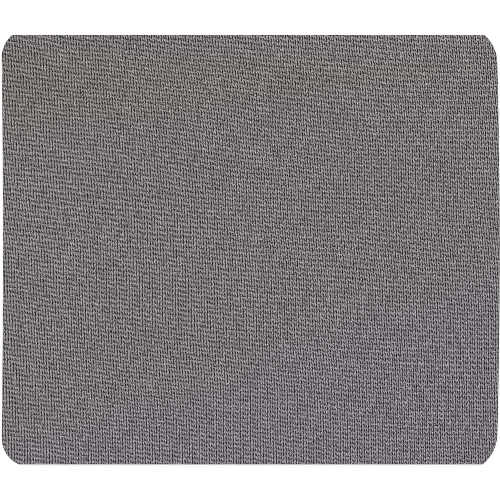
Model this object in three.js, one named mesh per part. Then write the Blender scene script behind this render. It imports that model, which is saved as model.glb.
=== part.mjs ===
// Mouse pad: a knit cloth laminated to a sheet of sponge rubber and die-cut to shape.
// Millimetres. +X is across the pad, +Y points to its rear edge, +Z is up through the cloth.
// The origin is on the resting plane, under the middle of the pad.

import * as THREE from 'three';

// Plan of the die cut
const PAD_WIDTH = 227.8; // side to side, at the front and rear ends
const PAD_DEPTH = 197.6; // front edge to rear edge
const LEFT_BOW = -0.7; // outward bulge of the left side at half depth: it is drawn in
const RIGHT_BOW = 1.45; // outward bulge of the right side at half depth

// Corners of the die cut. The front or rear edge crosses each corner's arc short of its end, by its trim
const FRONT_LEFT_RADIUS = 13.2;
const FRONT_LEFT_TRIM = 1;
const FRONT_RIGHT_RADIUS = 18;
const FRONT_RIGHT_TRIM = 4.2;
const REAR_LEFT_RADIUS = 13.8;
const REAR_LEFT_TRIM = 3.2;
const REAR_RIGHT_RADIUS = 17;
const REAR_RIGHT_TRIM = 4.4;

// Layers, from the desk up
const SPONGE_THICKNESS = 5.2;
const BOND_THICKNESS = 0.15;
const CLOTH_THICKNESS = 1;

// Edges left by the die
const WALL_DRAW_IN = 0.35; // the cut sponge springs back by this much at half its height
const CLOTH_RIM_RADIUS = 0.6; // the die presses the rim of the cloth round
const LEAST_CLOTH_WALL = 0.1; // upright cloth left under the rim

// Facets
const CORNER_STEPS = 12;
const SIDE_STEPS = 16;
const WALL_STEPS = 6;
const RIM_STEPS = 4;

// Finishes
const KNIT_FINISH = { color: 0x757173, roughness: 0.9, metalness: 0 };
const ADHESIVE_FINISH = { color: 0x4a4843, roughness: 0.5, metalness: 0 };
const SPONGE_FINISH = { color: 0x1d1d1f, roughness: 0.95, metalness: 0 };

// Heights shared by neighbouring layers, so that their faces meet exactly
const SPONGE_TOP = SPONGE_THICKNESS;
const BOND_TOP = SPONGE_TOP + BOND_THICKNESS;
const CLOTH_TOP = BOND_TOP + CLOTH_THICKNESS;

const HALF_WIDTH = PAD_WIDTH / 2;
const HALF_DEPTH = PAD_DEPTH / 2;

// Points of a corner's arc, from the side to the front or rear edge, drawn in by an inset
function cornerPoints(toRight, toRear, radius, trim, inset) {
  const centreX = toRight * (HALF_WIDTH - radius);
  const centreY = toRear * (HALF_DEPTH + trim - radius);
  const arcRadius = radius - inset;
  const endAngle = Math.asin((radius - trim - inset) / arcRadius);
  const points = [];
  for (let step = 0; step <= CORNER_STEPS; step += 1) {
    const angle = endAngle * (step / CORNER_STEPS);
    const x = centreX + toRight * arcRadius * Math.cos(angle);
    const y = centreY + toRear * arcRadius * Math.sin(angle);
    points.push(new THREE.Vector2(x, y));
  }
  return points;
}

// Points between the ends of a side, without the ends, which belong to the corner arcs
function sidePoints(start, end) {
  const points = [];
  for (let step = 1; step < SIDE_STEPS; step += 1) {
    points.push(start.clone().lerp(end, step / SIDE_STEPS));
  }
  return points;
}

// Moves a point of the straight-sided plan out to the bowed side that it belongs to
function bowed(point) {
  const share = 1 - (point.y / HALF_DEPTH) ** 2;
  const shift = point.x > 0 ? RIGHT_BOW * share : -LEFT_BOW * share;
  return new THREE.Vector2(point.x + shift, point.y);
}

// The die's cut line, counter-clockwise from above, drawn in evenly by an inset
function cutLine(inset) {
  const frontRight = cornerPoints(1, -1, FRONT_RIGHT_RADIUS, FRONT_RIGHT_TRIM, inset).reverse();
  const rearRight = cornerPoints(1, 1, REAR_RIGHT_RADIUS, REAR_RIGHT_TRIM, inset);
  const rearLeft = cornerPoints(-1, 1, REAR_LEFT_RADIUS, REAR_LEFT_TRIM, inset).reverse();
  const frontLeft = cornerPoints(-1, -1, FRONT_LEFT_RADIUS, FRONT_LEFT_TRIM, inset);
  const rightSide = sidePoints(frontRight.at(-1), rearRight.at(0));
  const leftSide = sidePoints(rearLeft.at(-1), frontLeft.at(0));

  const plan = [...frontRight, ...rightSide, ...rearRight, ...rearLeft, ...leftSide, ...frontLeft];
  return plan.map(bowed);
}

// A closed layer lofted through rings of the cut line, given from its lower face to its upper face
function layerGeometry(rings) {
  const outlines = rings.map((ring) => cutLine(ring.inset));
  const count = outlines[0].length;
  const positions = [];
  outlines.forEach((outline, level) => {
    outline.forEach((point) => positions.push(point.x, point.y, rings[level].z));
  });

  const triangles = [];
  for (let level = 0; level < rings.length - 1; level += 1) {
    for (let here = 0; here < count; here += 1) {
      const next = (here + 1) % count;
      const low = level * count;
      const high = low + count;
      triangles.push(low + here, low + next, high + next);
      triangles.push(low + here, high + next, high + here);
    }
  }

  const top = (rings.length - 1) * count;
  THREE.ShapeUtils.triangulateShape(outlines[0], []).forEach(([a, b, c]) => triangles.push(a, c, b));
  THREE.ShapeUtils.triangulateShape(outlines.at(-1), []).forEach(([a, b, c]) => {
    triangles.push(top + a, top + b, top + c);
  });

  const geometry = new THREE.BufferGeometry();
  geometry.setAttribute('position', new THREE.Float32BufferAttribute(positions, 3));
  geometry.setIndex(triangles);
  geometry.computeVertexNormals();
  return geometry;
}

function layerMesh(name, rings, finish) {
  const mesh = new THREE.Mesh(layerGeometry(rings), new THREE.MeshStandardMaterial(finish));
  mesh.name = name;
  return mesh;
}

// The sponge's cut wall is hollowed between its two skins
function spongeRings() {
  const rings = [];
  for (let step = 0; step <= WALL_STEPS; step += 1) {
    const height = step / WALL_STEPS;
    const inset = WALL_DRAW_IN * (1 - (2 * height - 1) ** 2);
    rings.push({ inset, z: SPONGE_TOP * height });
  }
  return rings;
}

// The film is cut square, in one stroke with the layers that it joins
function bondRings() {
  return [
    { inset: 0, z: SPONGE_TOP },
    { inset: 0, z: BOND_TOP },
  ];
}

// The cloth stands up from the film and turns over at its rim in a quarter round
function clothRings() {
  const radius = Math.min(CLOTH_RIM_RADIUS, CLOTH_THICKNESS - LEAST_CLOTH_WALL);
  const rings = [{ inset: 0, z: BOND_TOP }];
  for (let step = 0; step <= RIM_STEPS; step += 1) {
    const angle = (Math.PI / 2) * (step / RIM_STEPS);
    const inset = radius * (1 - Math.cos(angle));
    rings.push({ inset, z: CLOTH_TOP - radius * (1 - Math.sin(angle)) });
  }
  return rings;
}

const mousePad = new THREE.Group();
mousePad.add(layerMesh('sponge_base', spongeRings(), SPONGE_FINISH));
mousePad.add(layerMesh('bond_film', bondRings(), ADHESIVE_FINISH));
mousePad.add(layerMesh('cover_cloth', clothRings(), KNIT_FINISH));

// The sides bow unequally, so the pad is shifted to put its middle over the origin
const planBox = new THREE.Box2().setFromPoints(cutLine(0));
mousePad.position.x = -planBox.getCenter(new THREE.Vector2()).x;

export default mousePad;
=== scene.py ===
"""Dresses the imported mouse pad: a grey jersey knit laminated to black sponge rubber and die-cut.

The layers are made the way the real ones are. The cloth and the sponge start as larger sheets with a
surface of their own, a knit and a moulded grip, and one die cuts both. The film of adhesive between them
is shaped to the same outline. Sizes are in millimetres, as the frame was drawn, and meshes are stored
in metres.
"""

import logging
import math
from collections.abc import Callable
from dataclasses import dataclass
from enum import Enum

import bmesh
import bpy
import numpy as np
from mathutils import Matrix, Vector

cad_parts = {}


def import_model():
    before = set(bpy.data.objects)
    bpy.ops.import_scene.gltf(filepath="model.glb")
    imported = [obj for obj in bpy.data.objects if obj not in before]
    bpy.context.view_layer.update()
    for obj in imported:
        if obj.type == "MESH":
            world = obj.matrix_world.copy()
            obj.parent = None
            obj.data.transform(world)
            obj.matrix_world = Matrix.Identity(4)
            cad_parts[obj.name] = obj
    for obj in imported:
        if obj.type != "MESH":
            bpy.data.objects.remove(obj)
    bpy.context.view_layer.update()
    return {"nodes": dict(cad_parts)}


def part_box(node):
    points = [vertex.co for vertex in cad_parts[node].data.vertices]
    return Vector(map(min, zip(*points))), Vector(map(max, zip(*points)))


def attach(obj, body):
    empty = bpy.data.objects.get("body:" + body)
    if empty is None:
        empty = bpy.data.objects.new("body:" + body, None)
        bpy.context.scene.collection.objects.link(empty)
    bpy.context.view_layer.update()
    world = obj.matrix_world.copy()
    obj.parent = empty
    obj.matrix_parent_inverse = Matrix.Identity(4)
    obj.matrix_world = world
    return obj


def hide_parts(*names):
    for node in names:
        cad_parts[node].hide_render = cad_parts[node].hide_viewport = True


LOG = logging.getLogger("mouse_pad")

# A millimetre in Blender's metres, and the frame's one body
MM = 0.001
BODY = "root"

# The photograph: pixels along a side, its scale, and the pixel at the pad's middle
PHOTO_SIZE = 500
PHOTO_MM_PER_PIXEL = 0.46
PHOTO_PAD_CENTRE = (250.7, 249.7)

# How far a sheet's back, or the end of a die, lies past the face that it must clear, in millimetres
OVERCUT = 1.0

# The cloth's map of stitches, and the flat map for baking that it and the sponge have
STITCH_MAP = "Stitch"
BAKE_MAP = "OFBake"

# The flat map: room round its pieces, height of a row over that of its wall, and size of the hidden face
MAP_MARGIN = 0.01
MAP_ROW = 1.5
MAP_HIDDEN = 0.06

# A Mix node's output when it mixes colours, and the inputs of its two colours
MIXED = 2
FIRST_COLOUR = 6
SECOND_COLOUR = 7

WHITE = "#ffffff"


class Node(Enum):
    """The frame's solids, by their names in the record."""

    CLOTH = "cover_cloth"
    BOND = "bond_film"
    SPONGE = "sponge_base"


class Slot(Enum):
    """The record's material slots."""

    KNIT = "knit_cloth"
    ADHESIVE = "laminating_adhesive"
    RUBBER = "sponge_rubber"


class Side(Enum):
    """Which way a face of a cut layer looks."""

    TOP = 0
    UNDER = 1
    FRONT = 2
    RIGHT = 3
    REAR = 4
    LEFT = 5


WALLS = (Side.FRONT, Side.RIGHT, Side.REAR, Side.LEFT)


def to_linear(colour: str) -> tuple[float, float, float, float]:
    """Turns an sRGB hex colour into linear light.

    Args:
        colour: Six hex digits after a hash, such as "#808080".

    Returns:
        Linear red, green, blue and an alpha of one.
    """
    parts = [int(colour[at : at + 2], 16) / 255 for at in (1, 3, 5)]
    red, green, blue = (
        part / 12.92 if part <= 0.04045 else ((part + 0.055) / 1.055) ** 2.4 for part in parts
    )
    return red, green, blue, 1.0


def set_inputs(node: bpy.types.Node, inputs: dict[str | int, object]) -> None:
    """Gives a shader node's inputs their values and links.

    Args:
        node: The node, in its tree.
        inputs: Values, output sockets or nodes, by the name or number of the input that takes them. A node
            stands for its first output.
    """
    for key, value in inputs.items():
        if isinstance(value, bpy.types.Node):
            value = value.outputs[0]
        if isinstance(value, bpy.types.NodeSocket):
            node.id_data.links.new(value, node.inputs[key])
        else:
            node.inputs[key].default_value = value


def add_node(
    tree: bpy.types.NodeTree, kind: str, inputs: dict[str | int, object] | None = None, **settings: object
) -> bpy.types.Node:
    """Adds one shader node with its settings, values and links.

    Args:
        tree: The node tree that takes the node.
        kind: The node's Blender type.
        inputs: What its inputs take, as for set_inputs.
        settings: The node's own properties.

    Returns:
        The new node.
    """
    node = tree.nodes.new(kind)
    for name, value in settings.items():
        setattr(node, name, value)
    set_inputs(node, inputs or {})
    return node


def per_metre(size: float) -> float:
    """How many features of a size in millimetres fit in a metre, for a pattern's scale."""
    return 1 / (size * MM)


def new_material(name: str) -> tuple[bpy.types.Material, bpy.types.NodeTree, bpy.types.Node]:
    """Makes a material with one Principled shader.

    Args:
        name: The material's name.

    Returns:
        The material, its node tree and its shader.
    """
    material = bpy.data.materials.new(name)
    material.use_nodes = True
    return material, material.node_tree, material.node_tree.nodes["Principled BSDF"]


def select_only(piece: bpy.types.Object) -> None:
    """Makes a piece the only selected and active one.

    Args:
        piece: The object to work on.
    """
    bpy.ops.object.select_all(action="DESELECT")
    piece.select_set(True)
    bpy.context.view_layer.objects.active = piece


def mesh_object(name: str, points: np.ndarray, faces: list[list[int]]) -> bpy.types.Object:
    """Makes a mesh object from points in millimetres.

    Args:
        name: The object's name.
        points: Rows of x, y and z.
        faces: Lists of point numbers, counter-clockwise from outside.

    Returns:
        The new object, at the origin, in metres.
    """
    mesh = bpy.data.meshes.new(name)
    mesh.from_pydata((points * MM).tolist(), [], faces)
    mesh.validate()
    piece = bpy.data.objects.new(name, mesh)
    bpy.context.collection.objects.link(piece)
    return piece


def vertices_mm(piece: bpy.types.Object) -> np.ndarray:
    """Reads a mesh's points.

    Args:
        piece: A mesh object at the origin.

    Returns:
        Rows of x, y and z in millimetres.
    """
    flat = np.empty(len(piece.data.vertices) * 3)
    piece.data.vertices.foreach_get("co", flat)
    return flat.reshape(-1, 3) / MM


def store_vertices_mm(piece: bpy.types.Object, points: np.ndarray) -> None:
    """Writes a mesh's points back.

    Args:
        piece: A mesh object at the origin.
        points: Rows of x, y and z in millimetres.
    """
    piece.data.vertices.foreach_set("co", (points * MM).ravel())
    piece.data.update()


def keep_inside(sheet: bpy.types.Object, die: bpy.types.Object) -> None:
    """Die-cuts a sheet: what lies inside the die stays, and the die goes.

    Args:
        sheet: The closed sheet to cut.
        die: The closed body to keep.
    """
    select_only(sheet)
    bpy.ops.object.modifier_add(type="BOOLEAN")
    cut = sheet.modifiers[-1]
    cut.operation = "INTERSECT"
    cut.solver = "MANIFOLD"
    cut.object = die
    bpy.ops.object.modifier_apply(modifier=cut.name)
    sheet.data.materials.clear()
    bpy.data.objects.remove(die, do_unlink=True)


@dataclass(frozen=True)
class Corner:
    """One corner of the die: an arc, which the front or rear edge crosses short of its end.

    Attributes:
        side: One on the pad's right, minus one on its left.
        end: One at the pad's rear, minus one at its front.
        radius: Radius of the arc, in millimetres.
        trim: How far short of the arc's end the edge crosses it.
    """

    side: int
    end: int
    radius: float
    trim: float

    def centre(self, width: float, depth: float) -> tuple[float, float]:
        """Places the arc's centre on a pad without bows, as distances from the pad's middle."""
        return width / 2 - self.radius, depth / 2 + self.trim - self.radius

    def arc(self, width: float, depth: float, spacing: float) -> np.ndarray:
        """Draws the arc from the pad's side to its front or rear edge.

        Args:
            width: Width of the pad without bows.
            depth: Depth of the pad.
            spacing: Greatest distance between neighbouring points.

        Returns:
            Rows of x and y.
        """
        x, y = self.centre(width, depth)
        steps = math.ceil(self.radius * math.pi / 2 / spacing)
        angles = np.linspace(0, math.asin(1 - self.trim / self.radius), steps + 1)
        across, along = x + self.radius * np.cos(angles), y + self.radius * np.sin(angles)
        return np.stack([self.side * across, self.end * along], 1)


@dataclass(frozen=True)
class DieCut:
    """The die's cut line, in millimetres, with the sizes that the frame was cut to.

    Attributes:
        width: Side to side, at the front and rear ends.
        depth: Front edge to rear edge.
        left_bow: Outward bulge of the left side at half depth.
        right_bow: Outward bulge of the right side at half depth.
        corners: The four corners, counter-clockwise from the front right one.
    """

    width: float = 227.8
    depth: float = 197.6
    left_bow: float = -0.7
    right_bow: float = 1.45
    corners: tuple[Corner, ...] = (
        Corner(side=1, end=-1, radius=18.0, trim=4.2),
        Corner(side=1, end=1, radius=17.0, trim=4.4),
        Corner(side=-1, end=1, radius=13.8, trim=3.2),
        Corner(side=-1, end=-1, radius=13.2, trim=1.0),
    )

    @property
    def centring(self) -> float:
        """How far to the right the unequal bows carry the middle of the pad's width.

        The right side reaches furthest at half depth, and the left one where a corner starts.
        """
        starts = [corner.centre(self.width, self.depth)[1] for corner in self.corners if corner.side < 0]
        left_end = 1 - (2 * max(starts) / self.depth) ** 2
        return (self.right_bow - self.left_bow * left_end) / 2

    def bow(self, x: np.ndarray, y: np.ndarray) -> np.ndarray:
        """Works out how far the sides carry points of the straight-sided plan to the right.

        Args:
            x: Places across the pad.
            y: Places along the pad.

        Returns:
            The shift of each point, with the one that centres the pad.
        """
        share = 1 - (2 * y / self.depth) ** 2
        return np.where(x > 0, self.right_bow, -self.left_bow) * share - self.centring

    def cut_line(self, spacing: float) -> np.ndarray:
        """Draws the cut line counter-clockwise from above.

        Args:
            spacing: Greatest distance between neighbouring points.

        Returns:
            Rows of x and y.
        """
        arcs = [corner.arc(self.width, self.depth, spacing) for corner in self.corners]
        arcs = [arc if corner.side == corner.end else arc[::-1] for arc, corner in zip(arcs, self.corners)]
        line = []
        for arc, following in zip(arcs, arcs[1:] + arcs[:1]):
            steps = math.ceil(float(np.hypot(*(following[0] - arc[-1]))) / spacing)
            line += [arc, np.linspace(arc[-1], following[0], steps + 1)[1:-1]]
        plan = np.concatenate(line)
        plan[:, 0] += self.bow(plan[:, 0], plan[:, 1])
        return plan

    def depth_inside(self, x: np.ndarray, y: np.ndarray) -> np.ndarray:
        """Measures how far points lie inside the cut line.

        Args:
            x: Places across the pad.
            y: Places along the pad.

        Returns:
            Distances to the cut line, negative outside it and no more than a corner's radius.
        """
        plan_x = x - self.bow(x, y)
        inside = np.minimum(self.width / 2 - np.abs(plan_x), self.depth / 2 - np.abs(y))
        for corner in self.corners:
            centre_x, centre_y = corner.centre(self.width, self.depth)
            past_x = np.maximum(corner.side * plan_x - centre_x, 0)
            past_y = np.maximum(corner.end * y - centre_y, 0)
            inside = np.minimum(inside, corner.radius - np.hypot(past_x, past_y))
        return inside


def die_body(name: str, rings: list[np.ndarray]) -> bpy.types.Object:
    """Makes the closed body that a die encloses.

    Args:
        name: The body's name.
        rings: Rows of x, y and z round the cut line, from the lowest ring to the highest.

    Returns:
        The closed body.
    """
    count = len(rings[0])
    here = np.arange(count)
    after = (here + 1) % count
    faces = [list(range(count - 1, -1, -1))]
    for level in range(len(rings) - 1):
        low, high = level * count, (level + 1) * count
        faces += np.stack([low + here, low + after, high + after, high + here], 1).tolist()
    top = (len(rings) - 1) * count
    faces.append(list(range(top, top + count)))
    return mesh_object(name, np.concatenate(rings), faces)


def level_ring(line: np.ndarray, height: float) -> np.ndarray:
    """Lifts a flat cut line, rows of x and y, to one height."""
    return np.column_stack([line, np.full(len(line), height)])


def closed_slab(name: str, points: np.ndarray, faces: list[list[int]], floor: float) -> bpy.types.Object:
    """Closes an open sheet into a slab by running its border to a flat back.

    Args:
        name: The slab's name.
        points: Rows of x, y and z of the sheet, in millimetres.
        faces: The sheet's faces, which look away from the back.
        floor: Height of the flat back.

    Returns:
        The closed slab.
    """
    slab = mesh_object(name, points, faces)
    select_only(slab)
    bpy.ops.object.mode_set(mode="EDIT")
    bpy.ops.mesh.select_mode(type="EDGE")
    bpy.ops.mesh.select_all(action="DESELECT")
    bpy.ops.mesh.select_non_manifold()
    bpy.ops.mesh.extrude_region_move()
    bpy.ops.transform.resize(value=(1, 1, 0), center_override=(0, 0, floor * MM))
    bpy.ops.mesh.edge_face_add()
    bpy.ops.mesh.select_all(action="SELECT")
    bpy.ops.mesh.normals_make_consistent(inside=False)
    bpy.ops.object.mode_set(mode="OBJECT")
    return slab


def face_sides(piece: bpy.types.Object, steepest: float) -> np.ndarray:
    """Sorts a cut layer's faces by the way they look.

    Args:
        piece: The finished layer.
        steepest: Faces whose normals rise or fall by less than this belong to the cut wall.

    Returns:
        The number of a Side for each face.
    """
    normals = np.empty(len(piece.data.polygons) * 3)
    piece.data.polygons.foreach_get("normal", normals)
    across, along, up = normals.reshape(-1, 3).T
    sides = np.where(
        np.abs(across) > np.abs(along),
        np.where(across > 0, Side.RIGHT.value, Side.LEFT.value),
        np.where(along > 0, Side.REAR.value, Side.FRONT.value),
    )
    sides = np.where(up > steepest, Side.TOP.value, sides)
    return np.where(up < -steepest, Side.UNDER.value, sides)


def face_corners(piece: bpy.types.Object, steepest: float) -> tuple[np.ndarray, np.ndarray]:
    """Lists the corners of a cut layer's faces, in the order in which a map holds them.

    Args:
        piece: The finished layer.
        steepest: Faces whose normals rise or fall by less than this belong to the cut wall.

    Returns:
        The number of each corner's point, and that of the Side of its face.
    """
    points = np.empty(len(piece.data.loops), dtype=np.int32)
    piece.data.loops.foreach_get("vertex_index", points)
    totals = np.empty(len(piece.data.polygons), dtype=np.int32)
    piece.data.polygons.foreach_get("loop_total", totals)
    return points, np.repeat(face_sides(piece, steepest), totals)


def store_map(piece: bpy.types.Object, name: str, places: np.ndarray) -> None:
    """Stores a map's places, one row for each corner of the piece's faces."""
    piece.data.uv_layers.new(name=name).data.foreach_set("uv", places.ravel())


def map_for_baking(piece: bpy.types.Object, main: Side, steepest: float) -> None:
    """Gives a layer a flat map in which no two faces overlap.

    The main face fills the width of the map, the four walls lie in rows above it, and the hidden face
    is drawn small above those.

    Args:
        piece: The finished layer.
        main: The face that is seen.
        steepest: Faces whose normals rise or fall by less than this belong to the cut wall.
    """
    points = vertices_mm(piece)
    low, high = points.min(0), points.max(0)
    span = high - low
    scale = (1 - 2 * MAP_MARGIN) / span[0]
    wall_row = span[2] * scale * MAP_ROW
    hidden_scale = scale * MAP_HIDDEN
    rows_start = MAP_MARGIN + span[1] * scale + MAP_MARGIN
    hidden_start = rows_start + len(WALLS) * wall_row

    corner, side = face_corners(piece, steepest)
    x, y, z = (points[corner] - low).T
    flat = np.stack([MAP_MARGIN + x * scale, MAP_MARGIN + y * scale], 1)
    hidden = np.stack([MAP_MARGIN + x * hidden_scale, hidden_start + y * hidden_scale], 1)
    places = np.where((side == main.value)[:, None], flat, hidden)
    for row, wall in enumerate(WALLS):
        run = x if wall in (Side.FRONT, Side.REAR) else y
        strip = np.stack([MAP_MARGIN + run * scale, rows_start + row * wall_row + z * scale], 1)
        places = np.where((side == wall.value)[:, None], strip, places)
    store_map(piece, BAKE_MAP, places)


@dataclass(frozen=True)
class Strand:
    """One visible run of yarn in a stitch, in shares of a wale's width and of a course's height.

    Attributes:
        across: Where its middle lies across the wale.
        along: Where its middle lies along the course.
        lean: How far it moves to the right over the height of one course, at its middle.
        half_width: Half its width.
        half_length: Half its length.
        tone: How pale it is drawn at its middle, as a share of the yarn's own colour. The strands are all one
            yarn, so this is painted shade. fade: Painted shade along it: how much of that it loses from its
            foot to its head. Less than nothing is a gain, where its foot lies in the shade of other yarn.
        fade: How much of that it loses from its foot to its head. Less than nothing is a gain, where its
            foot lies in the shade of other yarn.
        bend: How far it curves to the right of that line, one course up or down.
    """

    across: float
    along: float
    lean: float
    half_width: float
    half_length: float
    tone: float = 1.0
    fade: float = 0.0
    bend: float = 0.0

    def across_at(self, along: float) -> float:
        """Place of its centre line across the wale, at a height along the course."""
        rise = along - self.along
        return self.across + (self.lean + self.bend * rise) * rise


@dataclass(frozen=True)
class KnitStitch:
    """One jersey stitch, in shares of a wale's width and of a course's height.

    Two legs of yarn stand side by side. The yarn's twist has turned the stitch, so both lean to the right,
    the left one less, and the right one overlaps the next like a shingle.

    Attributes:
        left: The broad leg.
        right: The thin leg.
        loop: The yarn that joins the legs of the course below, seen at the foot of the V.
        foot: Height at which both legs lie on top.
        head: Height at which both pass behind the course above.
        channel: The hollow line between two wales, across and along.
        bridge: The loop's highest point.
        hollow: The hole in the V.
    """

    # Each strand's tone and fade are painted shade, the same yarn drawn paler or darker strand by strand
    left: Strand = Strand(0.295, 0.98, 0.076, 0.183, 0.538, tone=0.638, fade=-0.15, bend=-0.07)
    right: Strand = Strand(0.73, 0.679, 0.235, 0.096, 0.762, tone=0.971, fade=-0.64, bend=0.015)
    loop: Strand = Strand(0.273, -0.041, 0.22, 0.291, 0.06, tone=0.823)
    foot: float = 0.22
    head: float = 0.97
    channel: tuple[float, float] = (0.02, 0.45)
    bridge: tuple[float, float] = (0.47, 0.1)
    hollow: tuple[float, float] = (0.52, 0.63)


@dataclass(frozen=True)
class Turn:
    """A slow change of the cloth's look over part of the pad.

    Attributes:
        direction: The way over the pad in which it grows.
        begin: How far that way from the pad's middle it starts, in millimetres.
        end: How far that way it is complete.
        size: What it adds by then.
    """

    direction: tuple[float, float, float]
    begin: float
    end: float
    size: float

    def add_to(
        self, tree: bpy.types.NodeTree, spot: bpy.types.NodeSocket, value: bpy.types.Node
    ) -> bpy.types.Node:
        """Adds the change to a value of a material.

        Args:
            tree: The material's nodes.
            spot: The place on the piece.
            value: The value without the change.

        Returns:
            The value with it.
        """
        way = {0: spot, 1: self.direction}
        run = add_node(tree, "ShaderNodeVectorMath", way, operation="DOT_PRODUCT").outputs["Value"]
        turn = {"Value": run, "From Min": self.begin * MM, "From Max": self.end * MM, "To Max": self.size}
        turn = add_node(tree, "ShaderNodeMapRange", turn, interpolation_type="SMOOTHSTEP")
        return add_node(tree, "ShaderNodeMath", {0: value, 1: turn}, operation="ADD")


@dataclass(frozen=True)
class JerseyPolyester:
    """Jersey knit of spun polyester yarn, grey, over a black base.

    Attributes:
        warm_yarn: Colour of the yarn where its tint is warmest, in full light.
        cool_yarn: Colour of the yarn where its tint is coolest.
        gap_and_shade: Colour between the yarns: the black base that shows through, with painted shade of the
            hollows. gap_shade_power: Painted shade in the gaps: how much more they vary than the yarn's
            slubs, as a power, so that they look of uneven depth.
        gap_shade_power: How much more the gaps vary than the yarn's slubs, as a power.
        plain_tint: Tint of most of the pad, from 0 for the warm yarn to 1 for the cool one.
        tint_spread: How far the tint strays from that in patches.
        tint_patch: Size of those patches, in millimetres.
        tint_shifts: Where the tint turns from that.
        tone_shifts: Where the cloth is drawn paler towards the rear right and darker towards the rear left.
        yarn_edge: Where a strand's fuzzy edge begins and ends, from 1 at its outline to 0 in its middle.
        stray: How far the legs stray from their places, in stitches.
        stray_size: Distance over which they do, in millimetres.
        stitch_tones: Tones of the darkest and the palest stitches.
        mottle: Size of the cloth's paler and darker patches, in millimetres.
        mottle_tones: Their darkest and palest tones.
        slub: Size of the thick and thin places of the yarn, which run along the wales.
        slub_tones: Their darkest and palest tones.
        noise_detail: How many finer layers the patterns' noise has.
        noise_span: The part of the noise's range that those tones fill.
        roughness: Roughness of the gaps and of the yarn.
        shine: Strength of the yarn's reflection.
        sheen: Strength of the bloom of loose fibres.
        sheen_roughness: How evenly that bloom spreads.
        relief: Height of the yarn in the bump, in millimetres.
        relief_strength: Share of that height which shows.
    """

    warm_yarn: str = "#bbb7b3"
    cool_yarn: str = "#bdb7c2"
    gap_and_shade: str = "#2e292b"
    gap_shade_power: float = 4.5
    plain_tint: float = 0.36
    tint_spread: float = 0.2
    tint_patch: float = 40.0
    tint_shifts: tuple[Turn, ...] = (
        Turn((0.35, -1.0, 0.0), begin=10.0, end=90.0, size=0.52),
        Turn((-0.15, 1.0, 0.0), begin=52.0, end=78.0, size=-0.38),
        Turn((0.04, 1.0, 0.0), begin=86.0, end=96.0, size=0.6),
    )
    tone_shifts: tuple[Turn, ...] = (
        Turn((0.5, 0.85, 0.0), begin=60.0, end=140.0, size=0.07),
        Turn((-0.5, 0.85, 0.0), begin=70.0, end=140.0, size=-0.06),
    )
    yarn_edge: tuple[float, float] = (0.92, 0.58)
    stray: float = 0.17
    stray_size: float = 2.2
    stitch_tones: tuple[float, float] = (0.92, 1.08)
    mottle: tuple[float, float, float] = (9.0, 9.0, 9.0)
    mottle_tones: tuple[float, float] = (0.97, 1.03)
    slub: tuple[float, float, float] = (0.35, 0.65, 0.35)
    slub_tones: tuple[float, float] = (0.15, 1.85)
    noise_detail: float = 2.0
    noise_span: tuple[float, float] = (0.25, 0.75)
    roughness: tuple[float, float] = (1.0, 0.82)
    shine: float = 0.15
    sheen: float = 0.05
    sheen_roughness: float = 0.6
    relief: float = 0.12
    relief_strength: float = 0.5

    def material(self, stitch: KnitStitch) -> bpy.types.Material:
        """Makes the knit's material.

        Args:
            stitch: The stitch that the mesh was built from.

        Returns:
            The material.
        """
        # Pale legs of yarn stand in pairs over dark gaps of uneven depth, so from a step away the cloth is a
        # mid grey with a fine dark fleck. The gaps are the black base with painted shade, darker where they
        # look deeper, and each strand carries painted shade of its own. Spun yarn is uneven and matt, with a
        # faint bloom of loose fibres.
        material, tree, shader = new_material("jersey knit of spun polyester")
        spot = add_node(tree, "ShaderNodeTexCoord").outputs["Object"]
        cover, counts = self.yarn_cover(tree, spot, stitch)
        tone, slubs = self.yarn_tone(tree, spot, counts)
        yarn = {0: self.yarn_colour(tree, spot), "Scale": tone}
        yarn = add_node(tree, "ShaderNodeVectorMath", yarn, operation="SCALE")
        # Painted shade in the gaps: the black base drawn darker with the slubs, raised to a power
        depth = add_node(tree, "ShaderNodeMath", {0: slubs, 1: self.gap_shade_power}, operation="POWER")
        gap_and_shade = {0: to_linear(self.gap_and_shade)[:3], "Scale": depth}
        gap_and_shade = add_node(tree, "ShaderNodeVectorMath", gap_and_shade, operation="SCALE")
        colour = {"Factor": cover, FIRST_COLOUR: gap_and_shade, SECOND_COLOUR: yarn}
        colour = add_node(tree, "ShaderNodeMix", colour, data_type="RGBA").outputs[MIXED]
        rough = {"Value": cover, "To Min": self.roughness[0], "To Max": self.roughness[1]}
        height = add_node(tree, "ShaderNodeMath", {0: cover, 1: tone}, operation="MULTIPLY")
        bump = {"Strength": self.relief_strength, "Distance": self.relief * MM, "Height": height}
        shine = {0: cover, 1: self.shine}
        finish = {
            "Base Color": colour,
            "Roughness": add_node(tree, "ShaderNodeMapRange", rough),
            "Normal": add_node(tree, "ShaderNodeBump", bump),
            "Specular IOR Level": add_node(tree, "ShaderNodeMath", shine, operation="MULTIPLY"),
            "Sheen Weight": self.sheen,
            "Sheen Roughness": self.sheen_roughness,
        }
        set_inputs(shader, finish)
        return material

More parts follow.
